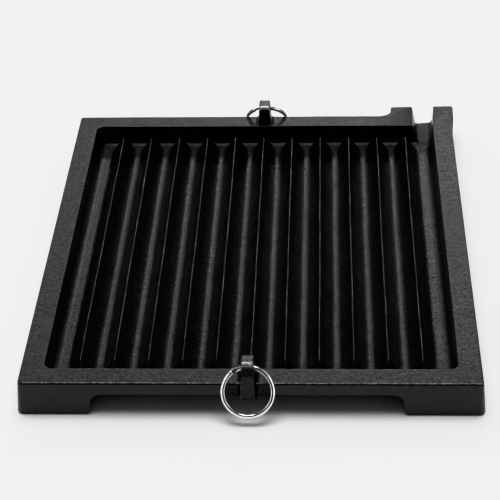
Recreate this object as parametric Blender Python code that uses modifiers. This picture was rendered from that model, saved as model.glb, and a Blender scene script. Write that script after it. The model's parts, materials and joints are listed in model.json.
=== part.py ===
"""Ribbed cast-iron grill plate with two lifting rings.

A shallow sand-cast tray with a flat rim, eleven knife-edged ridges, a pour
spout at the back right corner, four corner feet left by long arches in the
skirt, and one drilled lug at the middle of the front and of the back edge.
Each lug carries a loose split ring that swings on the hole.

Frame: metres, +Z up, origin on the table under the middle of the plate.
+X is the plate's right, +Y its back, -Y its front.
"""
import math
from collections import namedtuple

import bmesh
import bpy
from mathutils import Vector

MM = 0.001
EPS = 1e-6

# ---- casting: outside -------------------------------------------------
PLATE_W = 300.0 * MM          # rim, outside, left to right
PLATE_D = 340.0 * MM          # rim, outside, front to back
PLATE_H = 25.0 * MM           # table to rim top
HALF_W = PLATE_W / 2
HALF_D = PLATE_D / 2
DRAFT = math.radians(5.0)     # outward draft of the skirt
SKIRT_FLARE = PLATE_H * math.tan(DRAFT)
RIM_W = 15.3 * MM             # flat rim width
RIM_T = 6.0 * MM              # rim thickness
RIM_UNDERSIDE = PLATE_H - RIM_T
CORNER_R = 2.4 * MM           # outer corner, in plan
RIM_EDGE_R = 0.8 * MM         # rounding of the rim's outer edge
TOE_EDGE_R = 1.1 * MM         # rounding of the feet's lower edge
PLATE_SHARP_ANGLE = math.radians(32)

# ---- casting: hollow inside the skirt ---------------------------------
SKIRT_T = 6.0 * MM            # skirt wall at its root
SKIRT_T_TOE = 5.2 * MM        # skirt wall at the table
HOLLOW_CORNER_R = 3.0 * MM
HOLLOW_ROOF_R = 1.5 * MM
HOLLOW_BELOW = 1.0 * MM       # cutter overrun below the table

# ---- casting: tray ----------------------------------------------------
TRAY_DEPTH = 14.8 * MM        # rim top to valley floor
TRAY_WALL_INSET = 2.7 * MM    # how far the inner wall leans in, top to floor
TRAY_CORNER_R = 5.5 * MM
TRAY_FLOOR_R = 1.8 * MM       # cove between wall and floor
TRAY_ABOVE = 1.0 * MM         # cutter overrun above the rim
FLOOR_Z = PLATE_H - TRAY_DEPTH
FLOOR_X = HALF_W - RIM_W - TRAY_WALL_INSET    # floor's half width and half depth
FLOOR_Y = HALF_D - RIM_W - TRAY_WALL_INSET
FLOOR_T = 4.0 * MM            # floor thickness
BELLY_WALL_T = 4.5 * MM       # wall thickness beside the tray
BELLY_TOP_OUT = 1.4 * MM      # belly wall leans out at the top
BELLY_FOOT_IN = 0.8 * MM      # and in at the bottom
BELLY_OVERLAP = 1.0 * MM      # belly reaches up into the rim
BELLY_CORNER_R = 7.0 * MM
BELLY_FOOT_R = 2.6 * MM

# ---- casting: ridges --------------------------------------------------
RIDGE_COUNT = 11
RIDGE_PITCH = 22.5 * MM
RIDGE_DROP = 2.8 * MM         # crest below the rim top
RIDGE_HALF = 8.7 * MM         # half width at the floor
RIDGE_CREST_HALF = 0.45 * MM  # blunt crest
RIDGE_CREST_RISE = 0.35 * MM  # crest line above the crest's two edges
RIDGE_CREST_END = 142.2 * MM  # crest stops here, front and back
RIDGE_HIP_START = 140.5 * MM  # full base width up to here
RIDGE_TOE_END = 153.0 * MM    # base reaches into the wall
RIDGE_TOE_HALF = 3.2 * MM
RIDGE_ROOT = 1.5 * MM         # the ridge runs this far into the floor

# ---- casting: arches between the feet ---------------------------------
ARCH_TOP = 15.2 * MM          # skirt's lower edge between the feet
ARCH_LEFT = -96.5 * MM        # front and back arch, at its top corners
ARCH_RIGHT = 92.5 * MM
ARCH_SIDE = 118.0 * MM        # side arches, half length at the top corners
ARCH_FOOT_RUN = 11.5 * MM     # how far the S curve runs to the foot's toe
ARCH_UPPER_R = 7.0 * MM
ARCH_LOWER_R = 3.8 * MM
ARCH_TOE_OUT = 0.5 * MM       # last point of the cutter, past the toe
ARCH_BELOW = 1.5 * MM         # and below the table
ARCH_CUT_DEPTH = 26.0 * MM    # cutter thickness through the skirt
ARCH_CUT_OUT = 6.5 * MM       # cutter's middle, outside the rim edge

# ---- casting: spout ---------------------------------------------------
SPOUT_LEFT = 102.3 * MM       # outer side of the left lip
SPOUT_REACH = 184.4 * MM      # back face of the lips
SPOUT_COVE_R = 6.5 * MM       # cove between left lip and rim edge
SPOUT_LIP_R = 1.9 * MM        # lip corners, in plan
SPOUT_KICK = 2.0 * MM         # the right lip leans out by this much
SPOUT_TOP = PLATE_H + 0.06 * MM       # a hair proud of the rim
SPOUT_FOOT = 6.7 * MM         # underside of the spout
SPOUT_EDGE_R = 0.8 * MM       # bevel of the top edges
SPOUT_EDGE_FROM = HALF_D - 1.0 * MM   # only edges reaching behind this are bevelled
# Root of the block inside the plate, in mm.
# Left: distance left of the cove's centre, distance in front of the rim's back edge.
SPOUT_ROOT_LEFT = ((6.0, 20.0), (6.0, 0.6), (1.5, 0.15))
# Right: distance in from the rim's right edge, distance in front of its back edge.
SPOUT_ROOT_RIGHT = ((0.4, 22.0), (14.0, 22.0))
# Draft of the block: the outline spreads from this point towards the foot.
SPOUT_DRAFT_CENTRE = Vector((125.0 * MM, 158.0 * MM, 0))
SPOUT_DRAFT_HALF_W = 27.0 * MM        # distance at which the X share below is reached
SPOUT_DRAFT_SHARE_X = 0.12            # share of the skirt's draft, along X and Y
SPOUT_DRAFT_SHARE_Y = 0.4

# ---- casting: pour notch ----------------------------------------------
NOTCH_LEFT = 119.0 * MM       # notch at rim top, at the tray
NOTCH_LEFT_LIP = 119.8 * MM   # the same at the lips
NOTCH_RIGHT_ROOT = 134.7 * MM
NOTCH_RIGHT_LIP = 137.0 * MM
NOTCH_LEAN = 3.6 * MM         # left side leans in, top to bottom, at the tray
NOTCH_LEAN_LIP = 2.8 * MM
NOTCH_LEAN_RIGHT = 0.6 * MM   # right side leans in all along
NOTCH_FLOOR = 9.8 * MM        # notch floor above the table
NOTCH_R_LEFT = 2.0 * MM
NOTCH_R_RIGHT = 5.5 * MM
NOTCH_BRIM = PLATE_H + 2.0 * MM       # top of the cutter
NOTCH_BRIM_OUT_LEFT = 0.3 * MM        # cutter spreads by this at its top
NOTCH_BRIM_OUT_RIGHT = 0.1 * MM
# Columns: y, share of the way from tray to lip shape, widening of each side, floor z.
NOTCH_STATIONS = (
    (HALF_D - 26.0 * MM, 0.0, 0.0, FLOOR_Z + 0.05 * MM),
    (HALF_D - 15.0 * MM, 0.2, 0.0, FLOOR_Z - 0.15 * MM),
    (SPOUT_REACH - 1.6 * MM, 1.0, 0.0, NOTCH_FLOOR - 0.2 * MM),
    (SPOUT_REACH - 0.5 * MM, 1.0, 0.25 * MM, NOTCH_FLOOR - 0.3 * MM),
    (SPOUT_REACH - 0.05 * MM, 1.0, 0.8 * MM, NOTCH_FLOOR - 0.6 * MM),
    (SPOUT_REACH + 4.0 * MM, 1.0, 4.8 * MM, NOTCH_FLOOR - 2.6 * MM),
)

# ---- casting: lugs ----------------------------------------------------
LUG_TOP = PLATE_H + 16.0 * MM
LUG_FOOT = 13.6 * MM          # lower end of the boss on the skirt
LUG_HALF_TOP = 4.1 * MM       # half thickness at the top
LUG_HALF_FOOT = 5.7 * MM      # half thickness at the boss's lower end
LUG_OUTER_TOP = 171.3 * MM    # outward face at the top
LUG_OUTER_FOOT = 174.3 * MM   # outward face at the boss's lower end
LUG_SHOULDER_R = 3.1 * MM
LUG_CHIN_R = 2.0 * MM         # outer lower edge of the boss
LUG_EDGE_R = 0.9 * MM
EYE_Y = 166.0 * MM            # hole centre, from the middle of the plate
EYE_Z = PLATE_H + 10.2 * MM
EYE_R = 3.2 * MM
EYE_DRILL_LENGTH = 30.0 * MM

RIM_FILLET_R = 2.6 * MM       # between lug and rim top
RIM_FILLET_STEPS = 5
RIM_FILLET_SINK = 0.5 * MM    # its first ring lies this far under the rim top
RIM_FILLET_BURY = 0.02 * MM   # overlap with the lug
RIM_FILLET_INNER_SHARE = 0.08         # how much of it shows on the tray side
RIM_FILLET_EDGE_GAP = 0.2 * MM        # stops short of the rim's rounded edge
RIM_FILLET_CORNER_R = 1.2 * MM

FACE_FILLET_R = 2.1 * MM      # between boss and skirt
FACE_FILLET_FOOT = ARCH_TOP + 0.3 * MM
FACE_FILLET_TOP = PLATE_H - 1.7 * MM
FACE_FILLET_PROUD = 0.04 * MM         # thin edge stands off the skirt
FACE_FILLET_SINK = 1.0 * MM   # overlap with the skirt
FACE_FILLET_BURY = 0.03 * MM  # overlap with the boss

# ---- split rings ------------------------------------------------------
RING_OD = 35.2 * MM
RING_WIRE_W = 2.9 * MM        # radial width of the flattened wire
RING_WIRE_T = 1.35 * MM       # axial thickness of one coil
RING_COIL_GAP = 0.2 * MM      # between the two coils
RING_WIRE_CHAMFER = 0.38 * MM
RING_END_SCALE = 0.72         # nipped wire ends
RING_LEAN = math.radians(28.5)        # from plumb, resting on the rim edge
RING_CROSS = math.radians(47.0)       # arc in which the wire changes coil
RING_STEP = math.radians(6.0)
RING_SHARP_ANGLE = math.radians(50)

# ---- the two lugs and their rings -------------------------------------
# side: -1 front, 1 back.  inner_top, inner_foot: face towards the tray, from the
# middle of the plate.  cross_at: middle of the ring's coil change, from the eye.
Lug = namedtuple("Lug", "label side x inner_top inner_foot ring_x cross_at")
FRONT_LUG_X = -0.8 * MM
LUGS = (
    Lug("front", side=-1, x=FRONT_LUG_X, inner_top=159.2 * MM, inner_foot=153.8 * MM,
        ring_x=FRONT_LUG_X, cross_at=math.radians(14.5)),
    # the back ring sits a little to the right of its lug
    Lug("back", side=1, x=0.3 * MM, inner_top=156.8 * MM, inner_foot=154.0 * MM,
        ring_x=1.4 * MM, cross_at=math.radians(-9.0)),
)


# ---- scene ------------------------------------------------------------
for old in list(bpy.data.objects):
    bpy.data.objects.remove(old, do_unlink=True)

model = bpy.data.collections.new("grill_plate_with_rings")
cutters = bpy.data.collections.new("cutters")
for group in (model, cutters):
    bpy.context.scene.collection.children.link(group)


# ---- object helpers ---------------------------------------------------
def add_object(name, shape, group):
    """Turn a bmesh into an object with outward normals."""
    bmesh.ops.recalc_face_normals(shape, faces=shape.faces[:])
    if shape.calc_volume(signed=True) < 0:
        bmesh.ops.reverse_faces(shape, faces=shape.faces[:])
    mesh = bpy.data.meshes.new(name)
    shape.to_mesh(mesh)
    shape.free()
    obj = bpy.data.objects.new(name, mesh)
    group.objects.link(obj)
    return obj


def helper(name, shape):
    """A boolean operand: shown as wire, never rendered."""
    obj = add_object(name, shape, cutters)
    obj.hide_render = True
    obj.display_type = 'WIRE'
    return obj


def boolean(target, tool, operation):
    modifier = target.modifiers.new(tool.name, 'BOOLEAN')
    modifier.operation = operation
    modifier.solver = 'EXACT'
    modifier.object = tool


def material(name, colour, roughness, metallic):
    result = bpy.data.materials.new(name)
    result.use_nodes = True
    shader = result.node_tree.nodes["Principled BSDF"]
    shader.inputs["Base Color"].default_value = (*colour, 1.0)
    shader.inputs["Roughness"].default_value = roughness
    shader.inputs["Metallic"].default_value = metallic
    return result


# ---- shape helpers ----------------------------------------------------
def mix(start, end, share):
    return start + (end - start) * share


def is_level(edge, z):
    """Whether the whole edge lies at height z."""
    return all(abs(v.co.z - z) < EPS for v in edge.verts)


def round_edges(shape, edges, radius, segments):
    bmesh.ops.bevel(shape, geom=edges, offset=radius, segments=segments, profile=0.5,
                    affect='EDGES')


def drafted_block(half_top, half_foot, z_top, z_foot, side_r, top_r=0.0, foot_r=0.0,
                  side_segments=4, edge_segments=3):
    """A box with drafted sides, rounded upright corners and rounded rims."""
    shape = bmesh.new()
    bmesh.ops.create_cube(shape, size=2.0)
    for v in shape.verts:
        half_x, half_y = half_top if v.co.z > 0 else half_foot
        v.co = Vector((math.copysign(half_x, v.co.x), math.copysign(half_y, v.co.y),
                       z_top if v.co.z > 0 else z_foot))
    upright = [e for e in shape.edges if abs(e.verts[0].co.z - e.verts[1].co.z) > EPS]
    round_edges(shape, upright, side_r, side_segments)
    for z, radius in ((z_top, top_r), (z_foot, foot_r)):
        if radius > 0:
            rim = [e for e in shape.edges if is_level(e, z)]
            round_edges(shape, rim, radius, edge_segments)
    return shape


def loft(rings):
    """Closed solid through rings with the same number of points."""
    shape = bmesh.new()
    rows = [[shape.verts.new(point) for point in ring] for ring in rings]
    count = len(rows[0])
    for row, following in zip(rows, rows[1:]):
        for i in range(count):
            j = (i + 1) % count
            shape.faces.new((row[i], row[j], following[j], following[i]))
    shape.faces.new(rows[0][::-1])
    shape.faces.new(rows[-1])
    return shape


def arc(centre_x, centre_y, radius, start, end, steps):
    """Points on a circle from start to end, both included, in degrees."""
    points = []
    for i in range(steps + 1):
        angle = math.radians(start + (end - start) * i / steps)
        points.append((centre_x + radius * math.cos(angle),
                       centre_y + radius * math.sin(angle)))
    return points


def flat_outline(name, points, depth):
    """A filled outline in the XY plane, thickened by depth about z = 0."""
    curve = bpy.data.curves.new(name, 'CURVE')
    curve.dimensions = '2D'
    curve.fill_mode = 'BOTH'
    curve.extrude = depth / 2
    spline = curve.splines.new('POLY')
    spline.points.add(len(points) - 1)
    for spline_point, (x, y) in zip(spline.points, points):
        spline_point.co = (x, y, 0.0, 1.0)
    spline.use_cyclic_u = True
    carrier = bpy.data.objects.new(name + "_outline", curve)
    cutters.objects.link(carrier)
    bpy.context.view_layer.update()
    depsgraph = bpy.context.evaluated_depsgraph_get()
    mesh = bpy.data.meshes.new_from_object(carrier.evaluated_get(depsgraph))
    bpy.data.objects.remove(carrier, do_unlink=True)
    shape = bmesh.new()
    shape.from_mesh(mesh)
    bpy.data.meshes.remove(mesh)
    # the curve's caps and walls come unjoined
    bmesh.ops.remove_doubles(shape, verts=shape.verts[:], dist=1e-5)
    return shape


# ---- plate: block, hollow and tray ------------------------------------
def outer_block():
    shape = drafted_block(
        (HALF_W, HALF_D), (HALF_W + SKIRT_FLARE, HALF_D + SKIRT_FLARE),
        PLATE_H, 0.0, side_r=CORNER_R, top_r=RIM_EDGE_R, foot_r=TOE_EDGE_R)
    return add_object("grill_plate", shape, model)


def skirt_hollow():
    """Hollow under the rim, inside the skirt."""
    toe_x = HALF_W + SKIRT_FLARE - SKIRT_T_TOE
    toe_y = HALF_D + SKIRT_FLARE - SKIRT_T_TOE
    lean = (toe_x - (HALF_W - SKIRT_T)) / RIM_UNDERSIDE
    return helper("skirt_hollow", drafted_block(
        (HALF_W - SKIRT_T, HALF_D - SKIRT_T),
        (toe_x + lean * HOLLOW_BELOW, toe_y + lean * HOLLOW_BELOW),
        RIM_UNDERSIDE, -HOLLOW_BELOW, side_r=HOLLOW_CORNER_R, top_r=HOLLOW_ROOF_R,
        side_segments=3, edge_segments=2))


def belly():
    """The solid around the tray, under the rim."""
    half_x = FLOOR_X + BELLY_WALL_T
    half_y = FLOOR_Y + BELLY_WALL_T
    return helper("belly", drafted_block(
        (half_x + BELLY_TOP_OUT, half_y + BELLY_TOP_OUT),
        (half_x - BELLY_FOOT_IN, half_y - BELLY_FOOT_IN),
        RIM_UNDERSIDE + BELLY_OVERLAP, FLOOR_Z - FLOOR_T,
        side_r=BELLY_CORNER_R, foot_r=BELLY_FOOT_R))


def tray_pocket():
    spread = TRAY_WALL_INSET / TRAY_DEPTH * TRAY_ABOVE
    return helper("tray_pocket", drafted_block(
        (HALF_W - RIM_W + spread, HALF_D - RIM_W + spread),
        (FLOOR_X, FLOOR_Y), PLATE_H + TRAY_ABOVE, FLOOR_Z,
        side_r=TRAY_CORNER_R, foot_r=TRAY_FLOOR_R))


# ---- plate: ridges ----------------------------------------------------
def ridge_rows():
    """One hipped ridge running front to back, repeated to the right."""
    crest_z = PLATE_H - RIDGE_DROP
    base_corners = ((RIDGE_HALF, RIDGE_HIP_START), (RIDGE_TOE_HALF, RIDGE_TOE_END))
    points = []
    for along in (-1, 1):
        points.append((0.0, along * RIDGE_CREST_END, crest_z))
        for across in (-1, 1):
            edge = Vector((across * RIDGE_CREST_HALF, along * RIDGE_CREST_END,
                           crest_z - RIDGE_CREST_RISE))
            points.append(edge)
            for x, y in base_corners:
                base = Vector((across * x, along * y, FLOOR_Z))
                # carry the flank on down into the floor
                points.append(base + (base - edge) * (RIDGE_ROOT / (edge.z - base.z)))
    shape = bmesh.new()
    hull_verts = [shape.verts.new(point) for point in points]
    bmesh.ops.convex_hull(shape, input=hull_verts)
    first_x = -RIDGE_PITCH * (RIDGE_COUNT - 1) / 2
    bmesh.ops.translate(shape, verts=shape.verts[:], vec=(first_x, 0, 0))
    ridges = helper("ridges", shape)
    rows = ridges.modifiers.new("rows", 'ARRAY')
    rows.count = RIDGE_COUNT
    rows.use_relative_offset = False
    rows.use_constant_offset = True
    rows.constant_offset_displace = (RIDGE_PITCH, 0, 0)
    rows.merge_threshold = 0.0001
    rows.use_merge_vertices = False
    return ridges


# ---- plate: spout -----------------------------------------------------
def spout_outline():
    """The block in plan, from its front left corner, clockwise from above."""
    cove_x = SPOUT_LEFT - SPOUT_COVE_R
    lip_y = SPOUT_REACH - SPOUT_LIP_R
    points = [(cove_x - left * MM, HALF_D - front * MM) for left, front in SPOUT_ROOT_LEFT]
    points += arc(cove_x, HALF_D + SPOUT_COVE_R, SPOUT_COVE_R, -90, 0, 6)[1:]
    points += arc(SPOUT_LEFT + SPOUT_LIP_R, lip_y, SPOUT_LIP_R, 180, 90, 4)
    points += arc(HALF_W + SPOUT_KICK - SPOUT_LIP_R, lip_y, SPOUT_LIP_R, 90, 0, 4)
    points += [(HALF_W - inset * MM, HALF_D - front * MM) for inset, front in SPOUT_ROOT_RIGHT]
    return points


def spout_block():
    """Block standing out behind the back edge; the notch leaves its two lips."""
    height = SPOUT_TOP - SPOUT_FOOT
    shape = flat_outline("spout_block", spout_outline(), height)
    bmesh.ops.dissolve_limit(shape, angle_limit=0.01, verts=shape.verts[:],
                             edges=shape.edges[:])
    bmesh.ops.translate(shape, verts=shape.verts[:],
                        vec=(0, 0, (SPOUT_TOP + SPOUT_FOOT) / 2))

    # draft: the foot is wider than the top
    centre = SPOUT_DRAFT_CENTRE
    grow = height * math.tan(DRAFT)
    for v in shape.verts:
        if v.co.z >= SPOUT_TOP - EPS:
            continue
        v.co.x += (v.co.x - centre.x) / SPOUT_DRAFT_HALF_W * grow * SPOUT_DRAFT_SHARE_X
        if v.co.y >= centre.y:
            reach = SPOUT_REACH - centre.y
            v.co.y += (v.co.y - centre.y) / reach * grow * SPOUT_DRAFT_SHARE_Y

    shape.normal_update()
    top_rim = [e for e in shape.edges
               if is_level(e, SPOUT_TOP)
               and min(abs(f.normal.z) for f in e.link_faces) < 0.5
               and max(v.co.y for v in e.verts) > SPOUT_EDGE_FROM]
    round_edges(shape, top_rim, SPOUT_EDGE_R, 2)
    return helper("spout_block", shape)


def pour_notch():
    """Channel from the tray through the rim, widening behind the lips."""
    rings = []
    for y, lip, widening, floor_z in NOTCH_STATIONS:
        left = mix(NOTCH_LEFT, NOTCH_LEFT_LIP, lip) - widening
        right = mix(NOTCH_RIGHT_ROOT, NOTCH_RIGHT_LIP, lip) + widening
        foot_left = left + mix(NOTCH_LEAN, NOTCH_LEAN_LIP, lip)
        section = [(left - NOTCH_BRIM_OUT_LEFT, NOTCH_BRIM)]
        section += arc(foot_left + NOTCH_R_LEFT, floor_z + NOTCH_R_LEFT,
                       NOTCH_R_LEFT, 190, 270, 3)
        section += arc(right - NOTCH_LEAN_RIGHT - NOTCH_R_RIGHT, floor_z + NOTCH_R_RIGHT,
                       NOTCH_R_RIGHT, 270, 355, 5)
        section += [(right + NOTCH_BRIM_OUT_RIGHT, NOTCH_BRIM)]
        rings.append([(x, y, z) for x, z in section])
    return helper("pour_notch", loft(rings))


# ---- plate: arches between the feet -----------------------------------
def arch_outline(start, end):
    """S-curved arch, wide at the table; columns are along the edge, up."""
    half = arc(0.0, ARCH_TOP - ARCH_UPPER_R, ARCH_UPPER_R, 90, 8, 6)    # from the top down
    half += arc(ARCH_FOOT_RUN, ARCH_LOWER_R, ARCH_LOWER_R, 184, 264, 4)
    half.append((ARCH_FOOT_RUN + ARCH_TOE_OUT, -ARCH_BELOW))
    points = [(end + along, z) for along, z in half]
    points += [(start - along, z) for along, z in reversed(half)]
    return points


def cut_arches(plate):
    long_x = (ARCH_LEFT, ARCH_RIGHT)
    long_y = (-ARCH_SIDE, ARCH_SIDE)
    cut_x = HALF_W + ARCH_CUT_OUT
    cut_y = HALF_D + ARCH_CUT_OUT
    for name, runs_along_x, location, ends in (
            ("front_arch", True, (0, -cut_y, 0), long_x),
            ("back_arch", True, (0, cut_y, 0), long_x),
            ("left_arch", False, (-cut_x, 0, 0), long_y),
            ("right_arch", False, (cut_x, 0, 0), long_y)):
        shape = flat_outline(name, arch_outline(*ends), ARCH_CUT_DEPTH)
        for v in shape.verts:            # stand the outline upright
            along, z, through = v.co
            v.co = (along, through, z) if runs_along_x else (through, along, z)
        cutter = helper(name, shape)
        cutter.location = location
        boolean(plate, cutter, 'DIFFERENCE')


# ---- plate: lugs ------------------------------------------------------
def lug_taper(top, foot, z):
    """A lug dimension at height z, from its values at the top and the foot."""
    return top + (foot - top) * (LUG_TOP - z) / (LUG_TOP - LUG_FOOT)


def lug_half_at(z):
    return lug_taper(LUG_HALF_TOP, LUG_HALF_FOOT, z)


def lug_body(lug):
    """Upright tab growing out of the rim; its outer face runs down the skirt."""
    shape = bmesh.new()
    bmesh.ops.create_cube(shape, size=2.0)
    for v in shape.verts:                # shaped as a back lug, placed at the end
        top = v.co.z > 0
        half_x = LUG_HALF_TOP if top else LUG_HALF_FOOT
        if v.co.y > 0:
            y = LUG_OUTER_TOP if top else LUG_OUTER_FOOT
        else:
            y = lug.inner_top if top else lug.inner_foot
        v.co = Vector((math.copysign(half_x, v.co.x), y, LUG_TOP if top else LUG_FOOT))

    shoulders = [e for e in shape.edges
                 if is_level(e, LUG_TOP) and abs(e.verts[0].co.y - e.verts[1].co.y) < EPS]
    round_edges(shape, shoulders, LUG_SHOULDER_R, 4)
    chin = [e for e in shape.edges
            if is_level(e, LUG_FOOT) and all(v.co.y > LUG_OUTER_TOP for v in e.verts)]
    round_edges(shape, chin, LUG_CHIN_R, 3)

    shape.normal_update()
    side_faces = [f for f in shape.faces if abs(f.normal.x) > 0.9]
    border = [e for f in side_faces for e in f.edges if not is_level(e, LUG_FOOT)]
    round_edges(shape, list(set(border)), LUG_EDGE_R, 2)

    for v in shape.verts:
        v.co = Vector((v.co.x + lug.x, lug.side * v.co.y, v.co.z))
    if lug.side < 0:                     # mirroring turned the faces inside out
        bmesh.ops.reverse_faces(shape, faces=shape.faces[:])
    return shape


def rim_fillet(lug):
    """Cast fillet between the lug and the flat rim top."""
    rings = []
    y_out = HALF_D - RIM_EDGE_R - RIM_FILLET_EDGE_GAP
    for i in range(RIM_FILLET_STEPS + 1):
        angle = math.radians(90.0 * i / RIM_FILLET_STEPS)
        if i == 0:
            z = PLATE_H - RIM_FILLET_SINK
        else:
            z = PLATE_H + RIM_FILLET_R * (1 - math.cos(angle))
        out = RIM_FILLET_R * (1 - math.sin(angle))
        half_x = lug_half_at(z) + out - RIM_FILLET_BURY
        y_in = (lug_taper(lug.inner_top, lug.inner_foot, z)
                - RIM_FILLET_INNER_SHARE * out + RIM_FILLET_BURY)
        corner_r = min(RIM_FILLET_CORNER_R, 0.5 * half_x)
        outline = [(half_x, y_out), (-half_x, y_out)]
        outline += arc(-half_x + corner_r, y_in + corner_r, corner_r, 180, 270, 3)
        outline += arc(half_x - corner_r, y_in + corner_r, corner_r, 270, 360, 3)
        rings.append([(lug.x + x, lug.side * y, z) for x, y in outline])
    return loft(rings)


def face_fillet(lug):
    """Cast fillet between the boss's sides and the skirt's outer face."""
    radius = FACE_FILLET_R
    rings = []
    for z in (FACE_FILLET_FOOT, FACE_FILLET_TOP):
        face_y = HALF_D + (PLATE_H - z) * math.tan(DRAFT) + FACE_FILLET_PROUD
        half_x = lug_half_at(z) - FACE_FILLET_BURY
        outline = [(-half_x - radius, face_y - FACE_FILLET_SINK),
                   (half_x + radius, face_y - FACE_FILLET_SINK)]
        outline += arc(half_x + radius, face_y + radius, radius, 270, 180, 4)
        outline += arc(-half_x - radius, face_y + radius, radius, 0, -90, 4)
        rings.append([(lug.x + x, lug.side * y, z) for x, y in outline])
    return loft(rings)


def eye_drill(lug):
    """Cylinder along X through the lug."""
    shape = bmesh.new()
    bmesh.ops.create_cone(shape, cap_ends=True, cap_tris=False, segments=24,
                          radius1=EYE_R, radius2=EYE_R, depth=EYE_DRILL_LENGTH)
    drill = helper(lug.label + "_eye_drill", shape)
    drill.rotation_euler = (0, math.radians(90), 0)
    drill.location = (lug.x, lug.side * EYE_Y, EYE_Z)
    return drill


def add_lug(plate, lug):
    for suffix, build in (("_lug", lug_body),
                          ("_rim_fillet", rim_fillet),
                          ("_face_fillet", face_fillet)):
        boolean(plate, helper(lug.label + suffix, build(lug)), 'UNION')
    boolean(plate, eye_drill(lug), 'DIFFERENCE')


# ---- split rings ------------------------------------------------------
def wire_section():
    """Chamfered wire section; columns are radial, axial."""
    half_w = RING_WIRE_W / 2
    half_t = RING_WIRE_T / 2
    flat_w = half_w - RING_WIRE_CHAMFER
    flat_t = half_t - RING_WIRE_CHAMFER
    return [(flat_w, -half_t), (half_w, -flat_t), (half_w, flat_t), (flat_w, half_t),
            (-flat_w, half_t), (-half_w, flat_t), (-half_w, -flat_t), (-flat_w, -half_t)]


def split_ring(cross_at):
    """Two coils of flattened wire around +Y, hanging below its eye.

    The ring's own frame: the eye at the origin, the ring's middle straight
    down at -Z, the ring's axis along +Y.  The wire runs round the outer
    coil, steps across in a short arc, and runs round the inner coil.
    """
    mean_r = (RING_OD - RING_WIRE_W) / 2
    coil_offset = (RING_WIRE_T + RING_COIL_GAP) / 2
    turn = 2 * math.pi
    sweep = 2 * turn - RING_CROSS
    count = int(round(sweep / RING_STEP))
    start = cross_at + RING_CROSS / 2
    section = wire_section()
    rings = []
    for i in range(count + 1):
        run = sweep * i / count
        angle = start + run
        share = (run - (turn - RING_CROSS)) / RING_CROSS
        share = min(1.0, max(0.0, share))
        eased = share * share * (3 - 2 * share)
        shift = coil_offset * (1 - 2 * eased)
        scale = RING_END_SCALE if i in (0, count) else 1.0
        radial = Vector((math.sin(angle), 0.0, math.cos(angle)))
        rings.append([radial * (mean_r + out * scale)
                      + Vector((0.0, shift + axial * scale, -mean_r))
                      for out, axial in section])
    return loft(rings)


def hang_ring(lug, metal):
    """A ring parented to an empty on the lug's eye, leaning outwards."""
    name = lug.label + "_ring"
    ring = add_object(name, split_ring(lug.cross_at), model)
    ring.data.shade_smooth()
    ring.data.set_sharp_from_angle(angle=RING_SHARP_ANGLE)
    ring.data.materials.append(metal)
    pin = bpy.data.objects.new(name + "_axis", None)
    pin.empty_display_size = 0.01
    pin.location = (lug.ring_x, lug.side * EYE_Y, EYE_Z)
    model.objects.link(pin)
    ring.parent = pin
    # the front ring is turned half round to face forward
    ring.rotation_euler = (RING_LEAN, 0, math.pi if lug.side < 0 else 0)


# ---- assembly ---------------------------------------------------------
def cast_plate(iron):
    plate = outer_block()
    for build, operation in ((skirt_hollow, 'DIFFERENCE'),
                             (belly, 'UNION'),
                             (spout_block, 'UNION'),
                             (tray_pocket, 'DIFFERENCE'),
                             (ridge_rows, 'UNION'),
                             (pour_notch, 'DIFFERENCE')):
        boolean(plate, build(), operation)
    cut_arches(plate)
    for lug in LUGS:
        add_lug(plate, lug)
    plate.data.materials.append(iron)
    plate.data.shade_smooth()
    plate.data.set_sharp_from_angle(angle=PLATE_SHARP_ANGLE)


cast_plate(material("black_cast_iron", colour=(0.026, 0.024, 0.026), roughness=0.42,
                    metallic=0.0))
chrome = material("polished_chrome", colour=(0.78, 0.79, 0.80), roughness=0.10, metallic=1.0)
for mount in LUGS:
    hang_ring(mount, chrome)
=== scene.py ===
"""A ribbed cast-iron grill plate with two lifting rings.

The plate lies flat with +Z up, centred in X and Y, its rim at z = TOP. The ridges run along Y,
front is -Y and right is +X. A spout juts out at the back right corner, and a split ring hangs
from a lug in the middle of the front and of the back.
Sizes are in millimetres and become metres in the meshes; shaders and camera are in metres.
"""

import json
import math

import bmesh
import bpy
import numpy as np
from mathutils import Matrix, Vector

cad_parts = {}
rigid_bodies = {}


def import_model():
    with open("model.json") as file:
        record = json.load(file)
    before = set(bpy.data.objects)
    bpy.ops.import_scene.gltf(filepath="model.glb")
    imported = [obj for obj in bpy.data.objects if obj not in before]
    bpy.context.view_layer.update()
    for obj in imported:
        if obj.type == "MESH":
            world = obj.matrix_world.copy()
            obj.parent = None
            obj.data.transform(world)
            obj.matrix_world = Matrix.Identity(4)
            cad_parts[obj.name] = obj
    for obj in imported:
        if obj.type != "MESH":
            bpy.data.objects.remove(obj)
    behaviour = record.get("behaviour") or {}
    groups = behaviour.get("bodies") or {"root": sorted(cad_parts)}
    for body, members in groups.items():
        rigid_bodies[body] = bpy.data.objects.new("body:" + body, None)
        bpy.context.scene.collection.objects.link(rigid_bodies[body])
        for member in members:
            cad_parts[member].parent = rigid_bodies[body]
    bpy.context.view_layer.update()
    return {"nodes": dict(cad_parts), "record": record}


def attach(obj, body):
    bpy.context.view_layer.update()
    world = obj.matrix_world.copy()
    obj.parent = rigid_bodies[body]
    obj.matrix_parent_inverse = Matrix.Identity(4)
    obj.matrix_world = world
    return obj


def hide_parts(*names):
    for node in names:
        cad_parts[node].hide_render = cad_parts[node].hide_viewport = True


for leftover in list(bpy.data.objects):
    bpy.data.objects.remove(leftover, do_unlink=True)
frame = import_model()
JOINTS = {j["child"]: j for j in frame["record"]["behaviour"]["joints"]}

MM = 0.001
QUARTER = math.pi / 2

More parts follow.
